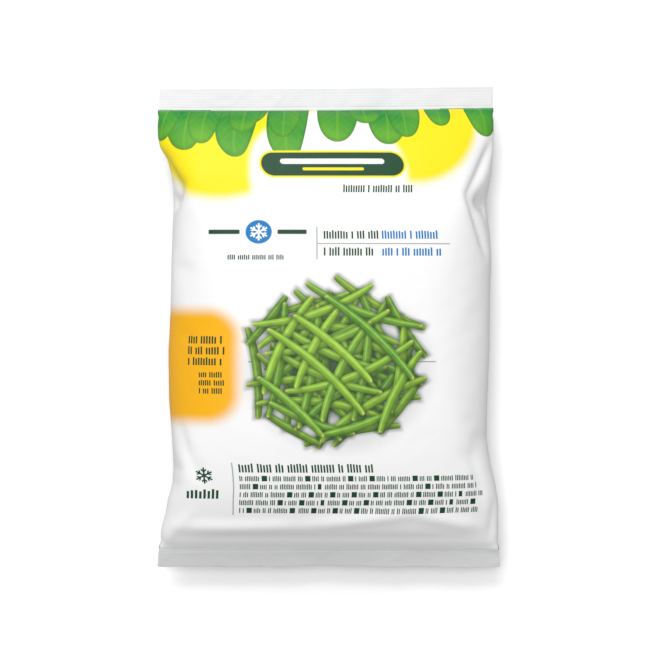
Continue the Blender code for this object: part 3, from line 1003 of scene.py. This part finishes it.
def makeFilmGroup():
    # what all parts of the film share: seals darkened by painted shade, faint clouding, soft creases and the lumps of
    # the beans
    outs = {"Colour": "colour", "Roughness": "number", "Normal": "vector"}
    tree, i, o = newGroup("filmSkin", {"Print": "colour", "Y": "number"}, outs)
    bare = isAbove(tree, sizeOf(tree, plus(tree, i["Y"], 0.4)), filmSkin["printEnd"])
    colour = mixColour(tree, bare, i["Print"], ink("white"))
    fromMiddle = sizeOf(tree, i["Y"])
    # painted shade: the seals are greyed in colour towards their ends instead of by light
    paintedSealShade = ramp(tree, fromMiddle, filmSkin["sealFrom"], filmSkin["sealTo"], 0.0, filmSkin["sealShadeShare"])
    colour = mixColour(tree, paintedSealShade, colour, filmSkin["sealShadeGrey"])
    body = addNode(tree, "ShaderNodeTexCoord").outputs["Object"]
    cloudy = noise(tree, body, filmSkin["cloudScale"], 3.0)
    fine = noise(tree, body, filmSkin["grainScale"], 3.0)
    tree.links.new(mixColour(tree, times(tree, cloudy, filmSkin["dustShare"]), colour, filmSkin["dust"]), o["Colour"])
    rough = scaled(tree, fine, 0.06, filmSkin["roughness"])
    tree.links.new(plus(tree, times(tree, cloudy, 0.10), rough), o["Roughness"])
    crease = noise(tree, body, filmSkin["creaseScale"], 4.0, Roughness=0.55, Distortion=0.6)
    spots = {"Vector": body, "Scale": filmSkin["lumpScale"]}
    lumps = addNode(tree, "ShaderNodeTexVoronoi", spots, feature="SMOOTH_F1").outputs["Distance"]
    height = times(tree, crease, filmSkin["creaseHeight"])
    height = plus(tree, height, times(tree, lumps, -filmSkin["lumpHeight"]))
    height = plus(tree, height, times(tree, fine, filmSkin["grainHeight"]))
    bump = {"Height": height, "Strength": filmSkin["bumpStrength"], "Distance": 1.0}
    tree.links.new(addNode(tree, "ShaderNodeBump", bump).outputs[0], o["Normal"])
    return tree


groups["film"] = makeFilmGroup()


def makeFilmMaterial(zone):
    material, tree, shader = newMaterial(zone)
    place = addNode(tree, "ShaderNodeUVMap", uv_map="printSheet").outputs[0]
    parts = addNode(tree, "ShaderNodeSeparateXYZ", {0: place}).outputs
    x = times(tree, minus(tree, parts[0], 0.5), 2000 * film["tubeWidth"])
    y = times(tree, minus(tree, parts[1], 0.5), 1000 * film["cutLength"])
    skin = tree.nodes.new("ShaderNodeGroup")
    skin.node_tree = groups["film"]
    colour = printZone(tree, x, y, zone)
    if isinstance(colour, bpy.types.NodeSocket):
        tree.links.new(colour, skin.inputs["Print"])
    else:
        skin.inputs["Print"].default_value = colour
    tree.links.new(y, skin.inputs["Y"])
    for output, socket in (("Colour", "Base Color"), ("Roughness", "Roughness"), ("Normal", "Normal")):
        tree.links.new(skin.outputs[output], shader.inputs[socket])
    shader.inputs["Specular IOR Level"].default_value = filmSkin["specular"]
    return material


for zone in zones:
    filmBag.data.materials.append(makeFilmMaterial(zone))
print("film printed")


# crimp ribs of both seals, by geometry nodes

ribs = {
    "spacing": 0.0024,
    "height": 0.00008,
    "sealStart": 0.2015,  # on the flat film, from its middle
    "fade": 0.0012,
}


def makeRibs(obj, material):
    tree = bpy.data.node_groups.new("sealRibs", "GeometryNodeTree")
    tree.interface.new_socket("Film", in_out="INPUT", socket_type="NodeSocketGeometry")
    for name in ("Rib spacing", "Rib height", "Seal start", "Fade"):
        tree.interface.new_socket(name, in_out="INPUT", socket_type="NodeSocketFloat")
    tree.interface.new_socket("Material", in_out="INPUT", socket_type="NodeSocketMaterial")
    tree.interface.new_socket("Ribbed film", in_out="OUTPUT", socket_type="NodeSocketGeometry")
    given = tree.nodes.new("NodeGroupInput").outputs
    along = addNode(tree, "GeometryNodeInputNamedAttribute", {"Name": "alongFilm"}, data_type="FLOAT").outputs[0]
    phase = times(tree, divided(tree, along, given["Rib spacing"]), 2 * math.pi)
    past = minus(tree, sizeOf(tree, along), given["Seal start"])
    share = divided(tree, past, given["Fade"], clamp=True)
    lift = times(tree, times(tree, calc(tree, "SINE", phase), given["Rib height"]), share)
    offset = vector(tree, 0.0, 0.0, lift)
    moved = addNode(tree, "GeometryNodeSetPosition", {"Geometry": given["Film"], "Offset": offset})
    real = addNode(tree, "GeometryNodeRealizeInstances", {0: moved.outputs[0]})
    inSeal = isAbove(tree, past, 0.0005)
    dress = {"Geometry": real.outputs[0], "Selection": inSeal, "Material": given["Material"]}
    dressed = addNode(tree, "GeometryNodeSetMaterial", dress)
    out = tree.nodes.new("NodeGroupOutput")
    tree.links.new(dressed.outputs[0], out.inputs[0])
    modifier = obj.modifiers.new("sealRibs", "NODES")
    modifier.node_group = tree
    values = {"Rib spacing": ribs["spacing"], "Rib height": ribs["height"], "Seal start": ribs["sealStart"],
              "Fade": ribs["fade"], "Material": material}
    for item in tree.interface.items_tree:
        if item.name in values:
            modifier[item.identifier] = values[item.name]
    graph = bpy.context.evaluated_depsgraph_get()
    result = bpy.data.meshes.new_from_object(obj.evaluated_get(graph))
    obj.modifiers.remove(modifier)
    obj.data = result


sealFilm = makeFilmMaterial("filmSeal")
makeRibs(filmBag, sealFilm)
print("seal ribs made")


# the frozen beans inside, the solid's own node

frozen = {
    "skin": (52, 110, 30),
    "paleSkin": (112, 160, 62),
    "frost": (214, 226, 214),
}


def makeBeanMaterial():
    material, tree, shader = newMaterial("frostedBean")
    body = addNode(tree, "ShaderNodeTexCoord").outputs["Object"]
    broad = noise(tree, body, 55.0, 3.0)
    fine = noise(tree, body, 900.0, 4.0)
    colour = mixColour(tree, ramp(tree, broad, 0.35, 0.65), rgb(*frozen["skin"]), rgb(*frozen["paleSkin"]))
    rime = times(tree, ramp(tree, broad, 0.45, 0.7), ramp(tree, fine, 0.45, 0.6))
    colour = mixColour(tree, times(tree, rime, 0.7), colour, rgb(*frozen["frost"]))
    tree.links.new(colour, shader.inputs["Base Color"])
    tree.links.new(scaled(tree, fine, 0.4, 0.35), shader.inputs["Roughness"])
    height = times(tree, fine, 0.0003)
    bump = addNode(tree, "ShaderNodeBump", {"Height": height, "Strength": 0.6, "Distance": 1.0}).outputs[0]
    tree.links.new(bump, shader.inputs["Normal"])
    return material


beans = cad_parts["frozen_beans"]
beanMaterial = makeBeanMaterial()
if beans.material_slots:
    for slot in beans.material_slots:
        slot.material = beanMaterial
else:
    beans.data.materials.append(beanMaterial)
print("beans dressed")

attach(filmBag, "root")
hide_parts("film_bag")

print("solid box", [[round(c, 4) for c in corner] for corner in cadBox])
